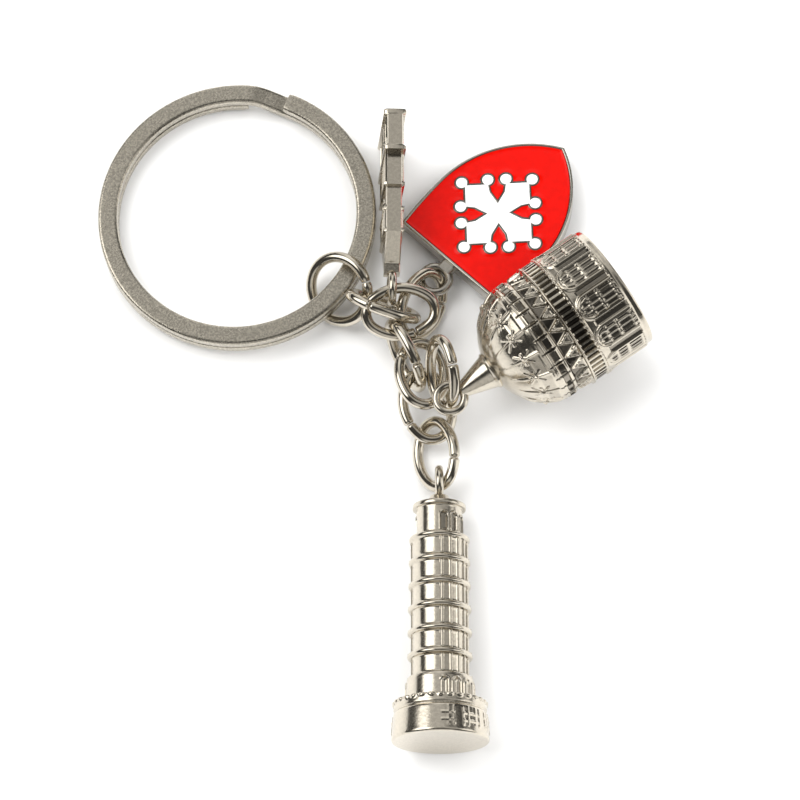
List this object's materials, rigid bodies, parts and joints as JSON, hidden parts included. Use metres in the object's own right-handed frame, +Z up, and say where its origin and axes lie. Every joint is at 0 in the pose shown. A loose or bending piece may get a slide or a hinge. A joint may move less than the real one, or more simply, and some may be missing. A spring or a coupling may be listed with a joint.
{
  "type": "keychain",
  "caption": "Souvenir keychain: flat split ring, round jump ring and a short loose oval-link chain carrying cast tower, domed hall, church front and enamelled shield charms.",
  "frame": {"origin": "centre of the split ring, midway between its two coils", "axes": "+Z up out of the table, the way the split ring's upper face looks; +Y away from the tower charm, which points along -Y; +X from the split ring towards the charms"},
  "size_m": [0.0591, 0.0732, 0.0151],
  "materials": {
    "split_steel": "nickel-plated spring steel, faintly grained flat faces and bright rounded edges",
    "link_nickel": "bright warm nickel plate on drawn steel wire",
    "cast_nickel": "bright nickel plate on cast zinc with darkened recesses",
    "red": "glossy red soft enamel with a raised rim meniscus",
    "white": "glossy white soft enamel"
  },
  "bodies": {
    "split_ring": {"split_ring": "split_steel"},
    "jump_ring": {"jump_ring": "link_nickel"},
    "link_a": {"link_a": "link_nickel"},
    "link_b": {"link_b": "link_nickel"},
    "link_c": {"link_c": "link_nickel"},
    "link_d": {"link_d": "link_nickel"},
    "link_e": {"link_e": "link_nickel"},
    "link_k": {"link_k": "link_nickel"},
    "link_s": {"link_s": "link_nickel"},
    "link_t": {"link_t": "link_nickel"},
    "tower": {"tower_charm": "cast_nickel"},
    "baptistery": {"baptistery_charm": "cast_nickel"},
    "facade": {"facade_charm": "cast_nickel"},
    "shield": {"shield_charm": "cast_nickel", "red_enamel": "red", "white_enamel": "white"}
  },
  "joints": [
    {"name": "link_a_turn", "type": "hinge", "parent": "jump_ring", "child": "link_a", "pos_m": [0.01365, -0.0097, 0.00159], "axis": [-0.5584, -0.8291, 0.0282], "range_deg": [-35.9, 12.8]},
    {"name": "link_b_turn", "type": "hinge", "parent": "link_a", "child": "link_b", "pos_m": [0.014, -0.0111, 0.00369], "axis": [-0.5191, 0.5818, 0.6262], "range_deg": [-7.7, 0.2]},
    {"name": "link_s_turn", "type": "hinge", "parent": "link_a", "child": "link_s", "pos_m": [0.01923, -0.01205, 0.00172], "axis": [-0.0753, -0.9264, 0.369], "range_deg": [-2.6, 23.1]},
    {"name": "link_c_turn", "type": "hinge", "parent": "link_b", "child": "link_c", "pos_m": [0.01638, -0.01395, 0.00191], "axis": [-0.0753, -0.9264, 0.369], "range_deg": [-7.7, 12.8]},
    {"name": "link_d_turn", "type": "hinge", "parent": "link_c", "child": "link_d", "pos_m": [0.01901, -0.01874, 0.00017], "axis": [0.8949, 0.3753, -0.2416], "range_deg": [-7.7, 15.4]},
    {"name": "link_e_turn", "type": "hinge", "parent": "link_c", "child": "link_e", "pos_m": [0.01804, -0.0161, 0.00262], "axis": [0.9013, 0.4291, 0.0589], "range_deg": [-59, 0.2]},
    {"name": "link_t_turn", "type": "hinge", "parent": "link_d", "child": "link_t", "pos_m": [0.01974, -0.02438, -0.00043], "axis": [0.2396, 0.3229, 0.9156], "range_deg": [-12.8, 18]},
    {"name": "link_k_turn", "type": "hinge", "parent": "link_e", "child": "link_k", "pos_m": [0.02169, -0.02088, 0.0025], "axis": [0.4743, 0.8099, -0.3451], "range_deg": [-0.2, 33.3]},
    {"name": "tower_turn", "type": "hinge", "parent": "link_t", "child": "tower", "pos_m": [0.02171, -0.03032, 0.00085], "axis": [0.9702, 0.2368, 0.0523], "range_deg": [-77, 2.6]},
    {"name": "baptistery_turn", "type": "hinge", "parent": "link_k", "child": "baptistery", "pos_m": [0.02309, -0.0217, 0.00408], "axis": [0, 0, 1], "range_deg": [-71.8, 0.2]},
    {"name": "facade_turn", "type": "hinge", "parent": "link_b", "child": "facade", "pos_m": [0.0167, -0.00938, 0.00365], "axis": [0.9699, 0.243, 0.0165], "range_deg": [-12.8, 77]},
    {"name": "shield_turn", "type": "hinge", "parent": "link_s", "child": "shield", "pos_m": [0.02147, -0.00706, 0.00017], "axis": [0.7336, 0.5109, -0.448], "range_deg": [-77, 0.2]},
    {"name": "jump_ring_turn", "type": "hinge", "parent": "split_ring", "child": "jump_ring", "pos_m": [0, 0, 0], "axis": [-0.0327, 0.0292, 0.999], "range_deg": [-90, 90]}
  ]
}
